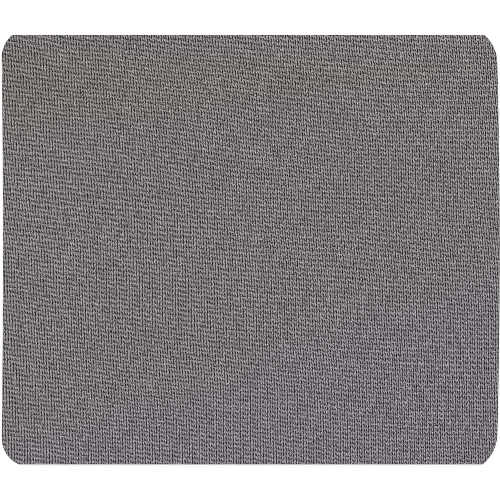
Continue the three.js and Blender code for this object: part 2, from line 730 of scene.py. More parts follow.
    def yarn_cover(
        self, tree: bpy.types.NodeTree, spot: bpy.types.NodeSocket, stitch: KnitStitch
    ) -> tuple[bpy.types.Node, bpy.types.Node]:
        """Draws where yarn covers the base, strand by strand.

        Args:
            tree: The material's nodes.
            spot: The place on the piece.
            stitch: The stitch that the mesh was built from.

        Returns:
            The share of yarn at each place, dimmed by each strand's painted shade, and the count of stitches
            there.
        """
        even = add_node(tree, "ShaderNodeUVMap", uv_map=STITCH_MAP)
        stray = {"Vector": spot, "Scale": per_metre(self.stray_size), "Detail": self.noise_detail}
        stray = {0: add_node(tree, "ShaderNodeTexNoise", stray).outputs["Color"], 1: (0.5, 0.5, 0.5)}
        stray = add_node(tree, "ShaderNodeVectorMath", stray, operation="SUBTRACT")
        counts = {0: stray, 1: (self.stray, self.stray, 0), 2: even}
        counts = add_node(tree, "ShaderNodeVectorMath", counts, operation="MULTIPLY_ADD")
        parts = add_node(tree, "ShaderNodeSeparateXYZ", {0: counts})
        across = add_node(tree, "ShaderNodeMath", {0: parts.outputs[0]}, operation="FRACT")
        along = add_node(tree, "ShaderNodeMath", {0: parts.outputs[1]}, operation="FRACT")
        cover = None
        for strand in (stitch.left, stitch.right, stitch.loop):
            half_shade_fade = strand.fade / (2 * strand.half_length)
            for course in (-1, 0, 1):
                rise = add_node(tree, "ShaderNodeMath", {0: along, 1: course - strand.along}, operation="ADD")
                slope = {0: rise, 1: strand.bend, 2: strand.lean}
                slope = add_node(tree, "ShaderNodeMath", slope, operation="MULTIPLY_ADD")
                line = {0: rise, 1: slope, 2: strand.across}
                line = add_node(tree, "ShaderNodeMath", line, operation="MULTIPLY_ADD")
                off = add_node(tree, "ShaderNodeMath", {0: across, 1: line}, operation="SUBTRACT")
                off = add_node(tree, "ShaderNodeMath", {0: off, 1: strand.half_width}, operation="DIVIDE")
                end = add_node(tree, "ShaderNodeMath", {0: rise, 1: strand.half_length}, operation="DIVIDE")
                # Squared twice, which rounds the strand off only near its ends
                for _ in range(2):
                    end = add_node(tree, "ShaderNodeMath", {0: end, 1: end}, operation="MULTIPLY")
                edge = add_node(tree, "ShaderNodeMath", {0: off, 1: off, 2: end}, operation="MULTIPLY_ADD")
                edge = {"Value": edge, "From Min": self.yarn_edge[0], "From Max": self.yarn_edge[1]}
                yarn = add_node(tree, "ShaderNodeMapRange", edge, interpolation_type="SMOOTHSTEP")
                # Painted shade: the strand's tone, paler or darker from its foot to its head by its fade
                pale = {0: rise, 1: -half_shade_fade, 2: strand.tone}
                pale = add_node(tree, "ShaderNodeMath", pale, operation="MULTIPLY_ADD")
                yarn = add_node(tree, "ShaderNodeMath", {0: yarn, 1: pale}, operation="MULTIPLY")
                if cover is not None:
                    yarn = add_node(tree, "ShaderNodeMath", {0: cover, 1: yarn}, operation="MAXIMUM")
                cover = yarn
        return cover, counts

    def yarn_tone(
        self, tree: bpy.types.NodeTree, spot: bpy.types.NodeSocket, counts: bpy.types.Node
    ) -> tuple[bpy.types.Node, bpy.types.Node]:
        """Draws how pale the yarn is: by the stitch, over the pad, in patches of the cloth and in its slubs.

        Args:
            tree: The material's nodes.
            spot: The place on the piece.
            counts: The count of stitches there.

        Returns:
            A factor on the yarn's colour, and the share of it that the slubs give.
        """
        stitch = add_node(tree, "ShaderNodeVectorMath", {0: counts}, operation="FLOOR")
        stitch = add_node(tree, "ShaderNodeTexWhiteNoise", {"Vector": stitch}, noise_dimensions="2D")
        tone = {"Value": stitch, "To Min": self.stitch_tones[0], "To Max": self.stitch_tones[1]}
        tone = add_node(tree, "ShaderNodeMapRange", tone)
        for shift in self.tone_shifts:
            tone = shift.add_to(tree, spot, tone)
        low, high = self.noise_span
        for size, (dark, pale) in ((self.mottle, self.mottle_tones), (self.slub, self.slub_tones)):
            place = {0: spot, 1: tuple(per_metre(length) for length in size)}
            place = add_node(tree, "ShaderNodeVectorMath", place, operation="MULTIPLY")
            patch = {"Vector": place, "Scale": 1.0, "Detail": self.noise_detail}
            patch = add_node(tree, "ShaderNodeTexNoise", patch)
            patch = {"Value": patch, "From Min": low, "From Max": high, "To Min": dark, "To Max": pale}
            patch = add_node(tree, "ShaderNodeMapRange", patch)
            tone = add_node(tree, "ShaderNodeMath", {0: tone, 1: patch}, operation="MULTIPLY")
        return tone, patch

    def yarn_colour(self, tree: bpy.types.NodeTree, spot: bpy.types.NodeSocket) -> bpy.types.NodeSocket:
        """Draws the slow drift of the yarn's tint over the pad.

        Args:
            tree: The material's nodes.
            spot: The place on the piece.

        Returns:
            The yarn's colour.
        """
        patch = {"Vector": spot, "Scale": per_metre(self.tint_patch), "Detail": self.noise_detail}
        patch = add_node(tree, "ShaderNodeTexNoise", patch)
        least, most = self.plain_tint - self.tint_spread, self.plain_tint + self.tint_spread
        tint = add_node(tree, "ShaderNodeMapRange", {"Value": patch, "To Min": least, "To Max": most})
        for shift in self.tint_shifts:
            tint = shift.add_to(tree, spot, tint)
        warm, cool = to_linear(self.warm_yarn), to_linear(self.cool_yarn)
        colours = {"Factor": tint, FIRST_COLOUR: warm, SECOND_COLOUR: cool}
        return add_node(tree, "ShaderNodeMix", colours, data_type="RGBA").outputs[MIXED]


@dataclass(frozen=True)
class SpongeRubber:
    """Black sponge rubber: cut cells on the wall, a moulded skin underneath.

    Attributes:
        rubber: Colour of the solid rubber between cells.
        cell: Colour down in a cell, near black: painted shade in its pit.
        cell_size: Width of a cell, in millimetres.
        cell_edge: How far from a cell's middle its painted shade ends, as a share of its width.
        skin: Height of the moulded skin over the resting plane, and of the stretch in which it opens.
        skin_cells: How much of the cells shows through the skin.
        wear_size: Size of the worn patches, in millimetres.
        wear_detail: How many finer layers their noise has.
        wear_span: The part of that noise's range in which the wear turns.
        wear_tones: Tones of the least and the most worn patches.
        roughness: Roughness of the skin and of the cut wall.
        shine: Strength of the rubber's reflection.
        relief: Depth of the cells in the bump, in millimetres.
        relief_strength: Share of that depth which shows.
    """

    rubber: str = "#3a3a3b"
    cell: str = "#050506"
    cell_size: float = 1.1
    cell_edge: float = 0.6
    skin: float = 0.5
    skin_cells: float = 0.15
    wear_size: float = 14.0
    wear_detail: float = 6.0
    wear_span: tuple[float, float] = (0.3, 0.7)
    wear_tones: tuple[float, float] = (0.75, 1.35)
    roughness: tuple[float, float] = (0.62, 0.92)
    shine: float = 0.3
    relief: float = 0.15
    relief_strength: float = 0.7

    def material(self) -> bpy.types.Material:
        """Makes the sponge's material.

        Returns:
            The material.
        """
        # Carbon-filled rubber is a dull black, paler where it is worn. Cut cells are drawn near black,
        # painted shade down in their pits, and the moulded skin is smoother, with a soft shine on its pips.
        # Real cells are about half as wide, which is too fine to show in the render, so they are drawn as
        # coarse as they need to be.
        material, tree, shader = new_material("carbon black sponge rubber")
        spot = add_node(tree, "ShaderNodeTexCoord").outputs["Object"]
        height = add_node(tree, "ShaderNodeSeparateXYZ", {0: spot}).outputs[2]
        cells = add_node(tree, "ShaderNodeTexVoronoi", {"Vector": spot, "Scale": per_metre(self.cell_size)})
        cut = {"Value": height, "From Min": self.skin * MM, "From Max": 2 * self.skin * MM}
        cut = add_node(tree, "ShaderNodeMapRange", cut | {"To Min": self.skin_cells})
        # Painted shade: each cell's middle is drawn dark, less so where the moulded skin covers it
        depth = {"Value": cells, "From Max": self.cell_edge, "To Min": 1.0, "To Max": 0.0}
        depth = add_node(tree, "ShaderNodeMapRange", depth)
        depth = add_node(tree, "ShaderNodeMath", {0: depth, 1: cut}, operation="MULTIPLY")
        wear = {"Vector": spot, "Scale": per_metre(self.wear_size), "Detail": self.wear_detail}
        wear = add_node(tree, "ShaderNodeTexNoise", wear)
        wear = {"Value": wear, "From Min": self.wear_span[0], "From Max": self.wear_span[1]}
        wear |= {"To Min": self.wear_tones[0], "To Max": self.wear_tones[1]}
        wear = add_node(tree, "ShaderNodeMapRange", wear)
        colour = {"Factor": depth, FIRST_COLOUR: to_linear(self.rubber), SECOND_COLOUR: to_linear(self.cell)}
        colour = add_node(tree, "ShaderNodeMix", colour, data_type="RGBA").outputs[MIXED]
        colour = {0: colour, "Scale": wear}
        rough = {"Value": cut, "To Min": self.roughness[0], "To Max": self.roughness[1]}
        rise = add_node(tree, "ShaderNodeMath", {0: 1.0, 1: depth}, operation="SUBTRACT")
        bump = {"Strength": self.relief_strength, "Distance": self.relief * MM, "Height": rise}
        finish = {
            "Base Color": add_node(tree, "ShaderNodeVectorMath", colour, operation="SCALE"),
            "Roughness": add_node(tree, "ShaderNodeMapRange", rough),
            "Normal": add_node(tree, "ShaderNodeBump", bump),
            "Specular IOR Level": self.shine,
        }
        set_inputs(shader, finish)
        return material


@dataclass(frozen=True)
class CuredAdhesive:
    """A cured film of laminating adhesive.

    Attributes:
        clear: Colour where it cured clear over black.
        cloudy: Colour where it cured cloudy.
        blotch: Size of a cloudy patch, in millimetres.
        haze_detail: How many finer layers the haze's noise has.
        haze_span: The part of that noise's range in which clear turns cloudy.
        roughness: Roughness of the clear and of the cloudy film.
        relief: Height of the cloudy patches in the bump, in millimetres.
        relief_strength: Share of that height which shows.
    """

    clear: str = "#4a4843"
    cloudy: str = "#6b675e"
    blotch: float = 3.0
    haze_detail: float = 4.0
    haze_span: tuple[float, float] = (0.35, 0.65)
    roughness: tuple[float, float] = (0.35, 0.65)
    relief: float = 0.05
    relief_strength: float = 0.4

    def material(self) -> bpy.types.Material:
        """Makes the film's material.

        Returns:
            The material.
        """
        # The film shows only as a hairline round the cut: a dull amber grey, a little glossy where clear.
        material, tree, shader = new_material("cured polyurethane adhesive")
        spot = add_node(tree, "ShaderNodeTexCoord").outputs["Object"]
        haze = {"Vector": spot, "Scale": per_metre(self.blotch), "Detail": self.haze_detail}
        haze = add_node(tree, "ShaderNodeTexNoise", haze)
        haze = {"Value": haze, "From Min": self.haze_span[0], "From Max": self.haze_span[1]}
        haze = add_node(tree, "ShaderNodeMapRange", haze)
        colour = {"Factor": haze, FIRST_COLOUR: to_linear(self.clear), SECOND_COLOUR: to_linear(self.cloudy)}
        rough = {"Value": haze, "To Min": self.roughness[0], "To Max": self.roughness[1]}
        bump = {"Strength": self.relief_strength, "Distance": self.relief * MM, "Height": haze}
        finish = {
            "Base Color": add_node(tree, "ShaderNodeMix", colour, data_type="RGBA").outputs[MIXED],
            "Roughness": add_node(tree, "ShaderNodeMapRange", rough),
            "Normal": add_node(tree, "ShaderNodeBump", bump),
        }
        set_inputs(shader, finish)
        return material


@dataclass(frozen=True)
class KnitLay:
    """How the knit lies on the pad after laminating, which stretched and skewed it a little.

    Attributes:
        half_width: Half the pad's width.
        half_depth: Half the pad's depth.
        wale_pitch: Width of a wale at the left side, in the middle and at the right side.
        course_pitch: Height of a course at the front edge, in the middle and at the rear edge.
        wale_lean: Degrees that the wales lean to the right, at the same places along the pad.
        course_fall: Degrees that the courses fall to the right, from the left side to the right side.
        wale_wander: Size of the wales' slow wandering, in stitches.
        course_wander: Size of the courses' slow wandering.
        wave_lengths: Lengths of the waves that make up the wandering, in millimetres.
        waves_each: How many waves there are of each length.
        full_wave: Length of a wave of full size.
        wave_power: How fast a wave's size grows with its length, as a power.
        seed: Start of the chance that turns and places the waves.
        placing_rounds: Rounds of Newton's method that find a stitch's place.
    """

    half_width: float
    half_depth: float
    wale_pitch: tuple[float, float, float] = (1.483, 1.553, 1.629)
    course_pitch: tuple[float, float, float] = (2.078, 2.263, 2.246)
    wale_lean: tuple[float, float, float] = (1.2, 3.0, 4.3)
    course_fall: tuple[float, float, float] = (5.5, 5.0, 1.8)
    wale_wander: float = 0.12
    course_wander: float = 0.12
    wave_lengths: tuple[float, ...] = (110.0, 70.0, 45.0, 30.0, 20.0)
    waves_each: int = 3
    full_wave: float = 90.0
    wave_power: float = 1.5
    seed: int = 3
    placing_rounds: int = 7

    def ease(self, place: np.ndarray, half: float, rates: list[float]) -> tuple[np.ndarray, np.ndarray]:
        """Runs a rate smoothly through three values across the pad.

        Args:
            place: Distances from the pad's middle.
            half: Half the pad's size that way.
            rates: The rate at the negative end, in the middle and at the positive end.

        Returns:
            The rate at each place, and its sum from the middle to there.
        """
        start, middle, end = rates
        change, curve = (end - start) / 2, (start + end) / 2 - middle
        share = place / half
        rate = middle + change * share + curve * share**2
        return rate, half * (middle * share + change * share**2 / 2 + curve * share**3 / 3)

    def wandering(self, x: np.ndarray, y: np.ndarray) -> tuple[np.ndarray, np.ndarray]:
        """Adds up slow waves that carry the yarns off their even lay.

        Args:
            x: Places across the pad.
            y: Places along the pad.

        Returns:
            The wandering of the wales and of the courses at each place, in stitches.
        """
        chance = np.random.default_rng(self.seed)
        wandered = []
        for size in (self.wale_wander, self.course_wander):
            total = np.zeros_like(x)
            for length in self.wave_lengths:
                share = (length / self.full_wave) ** self.wave_power
                for _ in range(self.waves_each):
                    angle, start = chance.uniform(0, 2 * math.pi, 2)
                    run = (x * math.cos(angle) + y * math.sin(angle)) / length
                    total += share * np.sin(2 * math.pi * run + start)
            wandered.append(size * total)
        return wandered[0], wandered[1]

    def stitches_at(self, x: np.ndarray, y: np.ndarray) -> tuple[np.ndarray, np.ndarray]:
        """Counts the wales and courses up to places on the pad.

        Args:
            x: Places across the pad.
            y: Places along the pad.

        Returns:
            Wales counted from the middle to the right, and courses counted to the rear.
        """
        wales, courses, _ = self.counts(x, y)
        wale_wander, course_wander = self.wandering(x, y)
        return wales + wale_wander, courses + course_wander

    def counts(
        self, x: np.ndarray, y: np.ndarray
    ) -> tuple[np.ndarray, np.ndarray, tuple[np.ndarray, ...]]:
        """Counts stitches without their wandering.

        Args:
            x: Places across the pad.
            y: Places along the pad.

        Returns:
            Wales, courses, and how fast each of them grows across and along the pad.
        """
        mean_wale, mean_course = 1 / self.wale_pitch[1], 1 / self.course_pitch[1]
        lean = [math.tan(math.radians(angle)) * mean_wale for angle in self.wale_lean]
        fall = [math.tan(math.radians(angle)) * mean_course for angle in self.course_fall]
        wale_rate, wales = self.ease(x, self.half_width, [1 / pitch for pitch in self.wale_pitch])
        course_rate, courses = self.ease(y, self.half_depth, [1 / pitch for pitch in self.course_pitch])
        lean_rate, leaned = self.ease(y, self.half_depth, lean)
        fall_rate, fallen = self.ease(x, self.half_width, fall)
        return wales - leaned, courses + fallen, (wale_rate, -lean_rate, fall_rate, course_rate)

    def place(self, wales: np.ndarray, courses: np.ndarray) -> tuple[np.ndarray, np.ndarray]:
        """Finds where stitches lie, by Newton's method.

        Args:
            wales: Wales counted from the middle to the right.
            courses: Courses counted to the rear.

        Returns:
            Places across and along the pad.
        """
        x = wales * self.wale_pitch[1]
        y = courses * self.course_pitch[1]
        for _ in range(self.placing_rounds):
            wale_across, wale_along, course_across, course_along = self.counts(x, y)[2]
            has_wales, has_courses = self.stitches_at(x, y)
            miss_wales, miss_courses = wales - has_wales, courses - has_courses
            scale = wale_across * course_along - wale_along * course_across
            x = x + (course_along * miss_wales - wale_along * miss_courses) / scale
            y = y + (wale_across * miss_courses - course_across * miss_wales) / scale
        return x, y


@dataclass
class CoverCloth:
    """The knit face of the pad.

    Attributes:
        die: The cut line.
        base: Height of the adhesive film's top.
        thickness: Height of the knit over the film.
        stitch: The stitch that it is knitted in.
        finish: The yarn.
        channel_depth: Depth of the hollow line between wales, under the top of the legs.
        hollow_depth: Depth of the hole in the V.
        bridge_depth: Depth of the loop.
        head_depth: Depth of the legs where they pass behind the course above.
        unevenness: How much stitches differ, in stitches across and along and in millimetres of height.
        most_uneven: The most that one does.
        seed: Start of the chance that makes them differ.
        rim_radius: Radius of the rim that the die presses round.
        loft: How much thicker than the pressed cloth the knit was, which keeps the rim from going flat.
        spare: How far the knitted sheet reaches past the die.
        die_spacing: Distance between points of the cut line.
        cut_end_pitch: Distance between cut yarn ends round the wall.
        cut_end_slant: Wales by which a yarn's end shifts over a millimetre of the wall's height.
        steepest: Faces whose normals rise or fall by less than this belong to the cut wall.
        smooth_angle: Degrees between faces up to which shading runs on over their edge.
    """

    die: DieCut
    base: float
    thickness: float
    stitch: KnitStitch = KnitStitch()
    finish: JerseyPolyester = JerseyPolyester()
    channel_depth: float = 0.38
    hollow_depth: float = 0.43
    bridge_depth: float = 0.18
    head_depth: float = 0.11
    unevenness: float = 0.03
    most_uneven: float = 0.08
    seed: int = 11
    rim_radius: float = 0.6
    loft: float = 0.2
    spare: float = 3.0
    die_spacing: float = 1.5
    cut_end_pitch: float = 1.5
    cut_end_slant: float = 0.1
    steepest: float = 0.02
    smooth_angle: float = 75.0

    def lay(self) -> KnitLay:
        """The knit's lay on this pad."""
        return KnitLay(self.die.width / 2, self.die.depth / 2)

    def knit_sheet(self) -> tuple[np.ndarray, list[list[int]]]:
        """Knits a sheet a little larger than the pad.

        Returns:
            Points in millimetres, and triangles.
        """
        lay, stitch = self.lay(), self.stitch
        half_x = self.die.width / 2 + self.spare
        half_y = self.die.depth / 2 + self.spare
        corners_x = np.array([-half_x, half_x, half_x, -half_x])
        corners_y = np.array([-half_y, -half_y, half_y, half_y])
        wales, courses = lay.stitches_at(corners_x, corners_y)
        ranges = []
        for counted in (wales, courses):
            ranges.append(np.arange(math.floor(counted.min()), math.ceil(counted.max()) + 1.0))
        wale, course = np.meshgrid(*ranges, indexing="ij")
        spots = (
            (*stitch.channel, self.channel_depth),
            (stitch.left.across_at(stitch.foot), stitch.foot, 0.0),
            (stitch.left.across_at(stitch.head), stitch.head, self.head_depth),
            (*stitch.bridge, self.bridge_depth),
            (*stitch.hollow, self.hollow_depth),
            (stitch.right.across_at(stitch.foot), stitch.foot, 0.0),
            (stitch.right.across_at(stitch.head), stitch.head, self.head_depth),
        )
        chance = np.random.default_rng(self.seed)
        top = self.base + self.thickness
        layers = []
        for across, along, depth in spots:
            uneven = chance.normal(0, self.unevenness, (3, *wale.shape))
            uneven = uneven.clip(-self.most_uneven, self.most_uneven)
            x, y = lay.place(wale + across + uneven[0], course + along + uneven[1])
            layers.append(np.stack([x, y, top - depth - np.abs(uneven[2])], -1))
        points = np.stack(layers, 2)
        return points.reshape(-1, 3), self.stitch_faces(points.shape[:3])

    def stitch_faces(self, shape: tuple[int, int, int]) -> list[list[int]]:
        """Joins the points of neighbouring stitches.

        Args:
            shape: Counts of wales, courses and points in a stitch.

        Returns:
            Triangles, counter-clockwise from above.
        """
        number = np.arange(math.prod(shape)).reshape(shape)
        here, above = number[:-1, :-1], number[:-1, 1:]
        right, right_above = number[1:, :-1], number[1:, 1:]
        channel, left_foot, left_head, bridge, hollow, right_foot, right_head = range(shape[2])
        triangles = (
            (here, channel, here, left_foot, here, left_head),
            (here, channel, here, left_head, above, left_foot),
            (here, channel, above, left_foot, above, channel),
            (here, left_foot, here, bridge, here, hollow),
            (here, left_foot, here, hollow, here, left_head),
            (here, left_head, here, hollow, above, bridge),
            (here, left_head, above, bridge, above, left_foot),
            (here, bridge, here, right_foot, here, hollow),
            (here, hollow, here, right_foot, here, right_head),
            (here, hollow, here, right_head, above, bridge),
            (here, right_head, above, right_foot, above, bridge),
            (right, channel, here, right_head, here, right_foot),
            (right, channel, right_above, channel, here, right_head),
            (right_above, channel, above, right_foot, here, right_head),
        )
        faces = [
            np.stack([a[..., i].ravel(), b[..., j].ravel(), c[..., k].ravel()], 1)
            for a, i, b, j, c, k in triangles
        ]
        return np.concatenate(faces).tolist()

    def build(self) -> bpy.types.Object:
        """Knits, cuts and presses the cloth.

        Returns:
            The finished cloth.
        """
        points, faces = self.knit_sheet()
        cloth = closed_slab("knit_cover", points, faces, self.base - OVERCUT)
        line = self.die.cut_line(self.die_spacing)
        rings = [level_ring(line, self.base), level_ring(line, self.base + 2 * self.thickness)]
        keep_inside(cloth, die_body("cloth_die", rings))
        self.press_rim(cloth)
        self.map_stitches(cloth)
        map_for_baking(cloth, Side.TOP, self.steepest)
        select_only(cloth)
        bpy.ops.object.shade_smooth_by_angle(angle=math.radians(self.smooth_angle))
        return cloth

    def press_rim(self, cloth: bpy.types.Object) -> None:
        """Rounds the rim over, as the die presses it.

        Args:
            cloth: The cut cloth.
        """
        points = vertices_mm(cloth)
        inside = np.clip(self.die.depth_inside(points[:, 0], points[:, 1]), 0, self.rim_radius)
        drop = self.rim_radius - np.sqrt(self.rim_radius**2 - (self.rim_radius - inside) ** 2)
        rise = points[:, 2] - self.base
        points[:, 2] = self.base + rise * (1 - drop / (self.thickness + self.loft))
        store_vertices_mm(cloth, points)

    def map_stitches(self, cloth: bpy.types.Object) -> None:
        """Gives every corner of the mesh its count of wales and courses.

        On the cut wall the count runs round the pad instead, down the middle of a leg, so that the wall
        shows the ends of cut yarn.

        Args:
            cloth: The cut cloth.
        """
        x, y, z = vertices_mm(cloth).T
        stitches = np.stack(self.lay().stitches_at(x, y), 1)
        round_pad = np.arctan2(y, x) * self.die.width / 2 / self.cut_end_pitch
        down_leg = self.stitch.left.across + self.cut_end_slant * (z - self.base)
        cut_ends = np.stack([down_leg, round_pad], 1)
        corner, side = face_corners(cloth, self.steepest)
        on_wall = np.isin(side, [wall.value for wall in WALLS])
        store_map(cloth, STITCH_MAP, np.where(on_wall[:, None], cut_ends[corner], stitches[corner]))

    def dress(self, cloth: bpy.types.Object, film: bpy.types.Object) -> None:
        """Gives the cloth its material and its place in the frame.

        Args:
            cloth: The finished cloth.
            film: The adhesive that it lies on. Not used.
        """
        cloth.data.materials.append(self.finish.material(self.stitch))
        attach(cloth, BODY)
        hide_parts(Node.CLOTH.value)
        line = self.die.cut_line(self.die_spacing)


@dataclass
class BondFilm:
    """The film of adhesive between the cloth and the sponge.

    Attributes:
        die: The cut line.
        base: Height of the sponge's top.
        thickness: Thickness of the film.
        finish: The adhesive.
        bead: How far the film squeezes out of the cut at half its thickness.
        corner_segments: Steps of a corner's arc.
        side_cuts: Cuts that let a side bow.
        touch: How near to an edge a point has to lie to belong to it.
        bow_middle: How near to half depth lie the points that are drawn out to a side's bow.
    """

    die: DieCut
    base: float
    thickness: float
    finish: CuredAdhesive = CuredAdhesive()
    bead: float = 0.04
    corner_segments: int = 12
    side_cuts: int = 31
    touch: float = 0.01
    bow_middle: float = 3.0

    def build(self) -> bpy.types.Object:
        """Cuts the film out of a plane, bows its sides and gives it its thickness.

        Returns:
            The finished film.
        """
        die = self.die
        half_width, half_depth = die.width / 2, die.depth / 2
        at_side = half_width - self.touch
        bpy.ops.object.select_all(action="DESELECT")
        bpy.ops.mesh.primitive_plane_add(size=1, location=(0, 0, 0))
        film = bpy.context.object
        film.name = film.data.name = "adhesive_film"
        bpy.ops.object.mode_set(mode="EDIT")
        bpy.ops.transform.resize(value=(die.width * MM, die.depth * MM, 1))
        bpy.ops.transform.translate(value=(0, 0, self.base * MM))
        for corner in die.corners:
            self.select_points(film, lambda x, y: x * corner.side > 0 and y * corner.end > 0)
            bpy.ops.transform.translate(value=(0, corner.end * corner.trim * MM, 0))
        for corner in die.corners:
            self.select_points(film, lambda x, y: x * corner.side > at_side and y * corner.end > half_depth)
            bpy.ops.mesh.bevel(
                offset=corner.radius * MM, segments=self.corner_segments, profile=0.5, affect="VERTICES"
            )
        for end in (-1, 1):
            bpy.ops.mesh.select_all(action="SELECT")
            edge = (0, end * half_depth * MM, 0)
            bpy.ops.mesh.bisect(plane_co=edge, plane_no=(0, end, 0), clear_outer=True)
        for side, bow in ((-1, -die.left_bow), (1, die.right_bow)):
            self.select_points(film, lambda x, y: x * side > at_side)
            bpy.ops.mesh.subdivide(number_cuts=self.side_cuts)
            self.select_points(film, lambda x, y: x * side > at_side and abs(y) < self.bow_middle)
            bpy.ops.transform.translate(
                value=(bow * MM, 0, 0),
                use_proportional_edit=True,
                proportional_edit_falloff="INVERSE_SQUARE",
                proportional_size=half_depth * MM,
            )
        bpy.ops.mesh.select_all(action="SELECT")
        bpy.ops.transform.translate(value=(-die.centring * MM, 0, 0))
        swell = 1 + 2 * self.bead / die.width
        for growth in (swell, 1 / swell):
            bpy.ops.mesh.extrude_region_move(
                TRANSFORM_OT_translate={"value": (0, 0, self.thickness / 2 * MM)}
            )
            bpy.ops.transform.resize(value=(growth, growth, 1))
        bpy.ops.mesh.select_all(action="SELECT")
        bpy.ops.mesh.normals_make_consistent(inside=False)
        bpy.ops.object.mode_set(mode="OBJECT")
        return film

    def select_points(self, film: bpy.types.Object, wanted: Callable[[float, float], bool]) -> None:
        """Selects the film's points by their place.

        Args:
            film: The film, in edit mode.
            wanted: Says of a place across and along the pad, in millimetres, whether it is wanted.
        """
        bpy.ops.mesh.select_mode(type="VERT")
        bpy.ops.mesh.select_all(action="DESELECT")
        sheet = bmesh.from_edit_mesh(film.data)
        for point in sheet.verts:
            point.select = wanted(point.co.x / MM, point.co.y / MM)
        sheet.select_flush(True)
        bmesh.update_edit_mesh(film.data)

    def dress(self, film: bpy.types.Object) -> None:
        """Gives the film its material and its place in the frame.

        Args:
            film: The finished film.
        """
        film.data.materials.append(self.finish.material())
        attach(film, BODY)
        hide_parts(Node.BOND.value)


@dataclass
class SpongeBase:
    """The sheet of sponge rubber under the cloth.

    Attributes:
        die: The cut line.
        thickness: Height of the sheet.
        finish: The rubber.
        draw_in: How far its cut wall springs back at half its height.
        grip_pitch: Distance between the pips of the moulded grip.
        groove_width: Width of the grooves between them.
        groove_depth: Depth of those grooves.
        spare_pips: How many pips the moulded sheet reaches past the die.
        cell_spacing: Distance between the cut cells of the wall.
        cell_depth: Depth of the deepest of them.
        closed_share: Share of the wall's height, at its foot and at its top, over which the cells close.
        seed: Start of the chance that gives the cells their depths.
        steepest: Faces whose normals rise or fall by less than this belong to the cut wall.
        smooth_angle: Degrees between faces up to which shading runs on over their edge.
    """

    die: DieCut
    thickness: float
    finish: SpongeRubber = SpongeRubber()
    draw_in: float = 0.35
    grip_pitch: float = 2.4
    groove_width: float = 0.9
    groove_depth: float = 0.4
    spare_pips: int = 2
    cell_spacing: float = 0.75
    cell_depth: float = 0.3
    closed_share: float = 0.25
    seed: int = 23
    steepest: float = 0.75
    smooth_angle: float = 35.0

    def grip_sheet(self) -> tuple[np.ndarray, list[list[int]]]:
        """Moulds the underside: rows of flat pips between grooves that cross the pad at a slant.

        Returns:
            Points in millimetres, and faces.
        """
        reach = (self.die.width + self.die.depth) / 2 / math.sqrt(2) + self.grip_pitch
        count = math.ceil(reach / self.grip_pitch)
        numbers = np.arange(-count, count + 1)
        row, column = np.meshgrid(numbers, numbers, indexing="ij")
        edge = self.groove_width / 2
        far = self.grip_pitch - edge
        corners = ((0, 0, self.groove_depth), (edge, edge, 0), (far, edge, 0), (far, far, 0), (edge, far, 0))
        layers = []
        for a, b, height in corners:
            run, rise = row * self.grip_pitch + a, column * self.grip_pitch + b
            across, along = (run + rise) / math.sqrt(2), (rise - run) / math.sqrt(2)
            layers.append(np.stack([across, along, np.full(across.shape, float(height))], -1))
        points = np.stack(layers, 2)
        number = np.arange(points[..., 0].size).reshape(points.shape[:3])
        here, next_row = number[:-1, :-1], number[1:, :-1]
        next_column, both = number[:-1, 1:], number[1:, 1:]
        groove, near, right, opposite, left = range(len(corners))
        quads = (
            (here, near, here, right, here, opposite, here, left),
            (here, groove, next_row, groove, here, right, here, near),
            (next_row, groove, both, groove, here, opposite, here, right),
            (both, groove, next_column, groove, here, left, here, opposite),
            (next_column, groove, here, groove, here, near, here, left),
        )
        far_x, far_y, _ = np.moveaxis(points[:-1, :-1, opposite], -1, 0)
        kept = (self.die.depth_inside(far_x, far_y) > -self.spare_pips * self.grip_pitch).ravel()
        # The corners are listed as from above and joined in reverse, because the grip looks down
        faces = []
        for quad in quads:
            pairs = list(zip(quad[0::2], quad[1::2]))[::-1]
            faces.append(np.stack([pip[..., point].ravel()[kept] for pip, point in pairs], 1))
        return points.reshape(-1, 3), np.concatenate(faces).tolist()

    def wall_rings(self) -> list[np.ndarray]:
        """Draws the cut wall, sprung back between its skins and pitted by the cells that the die opened.

        Returns:
            Rings of points in millimetres, from under the resting plane to the top of the sheet.
        """
        chance = np.random.default_rng(self.seed)
        steps = round(self.thickness / self.cell_spacing)
        line = self.die.cut_line(self.cell_spacing)
        run = np.roll(line, -1, 0) - np.roll(line, 1, 0)
        inward = np.stack([-run[:, 1], run[:, 0]], 1) / np.hypot(*run.T)[:, None]
        rings = [level_ring(line, -OVERCUT)]
        for step in range(steps + 1):
            share = step / steps
            # Squared, so that most cells are shallow and only a few are deep
            dents = chance.uniform(0, 1, len(line)) ** 2 * self.cell_depth
            opened = min(1.0, share / self.closed_share, (1 - share) / self.closed_share)
            inset = self.draw_in * (1 - (2 * share - 1) ** 2) + dents * opened
            rings.append(level_ring(line + inward * inset[:, None], self.thickness * share))
        return rings

    def build(self) -> bpy.types.Object:
        """Moulds the sheet and cuts it.

        Returns:
            The finished base.
        """
        points, faces = self.grip_sheet()
        sponge = closed_slab("grip_sponge", points, faces, self.thickness + OVERCUT)
        keep_inside(sponge, die_body("sponge_die", self.wall_rings()))
        map_for_baking(sponge, Side.UNDER, self.steepest)
        select_only(sponge)
        bpy.ops.object.shade_smooth_by_angle(angle=math.radians(self.smooth_angle))
        return sponge

    def dress(self, sponge: bpy.types.Object) -> None:
        """Gives the base its material and its place in the frame.

        Args:
            sponge: The finished base.
        """
        sponge.data.materials.append(self.finish.material())
        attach(sponge, BODY)
        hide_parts(Node.SPONGE.value)


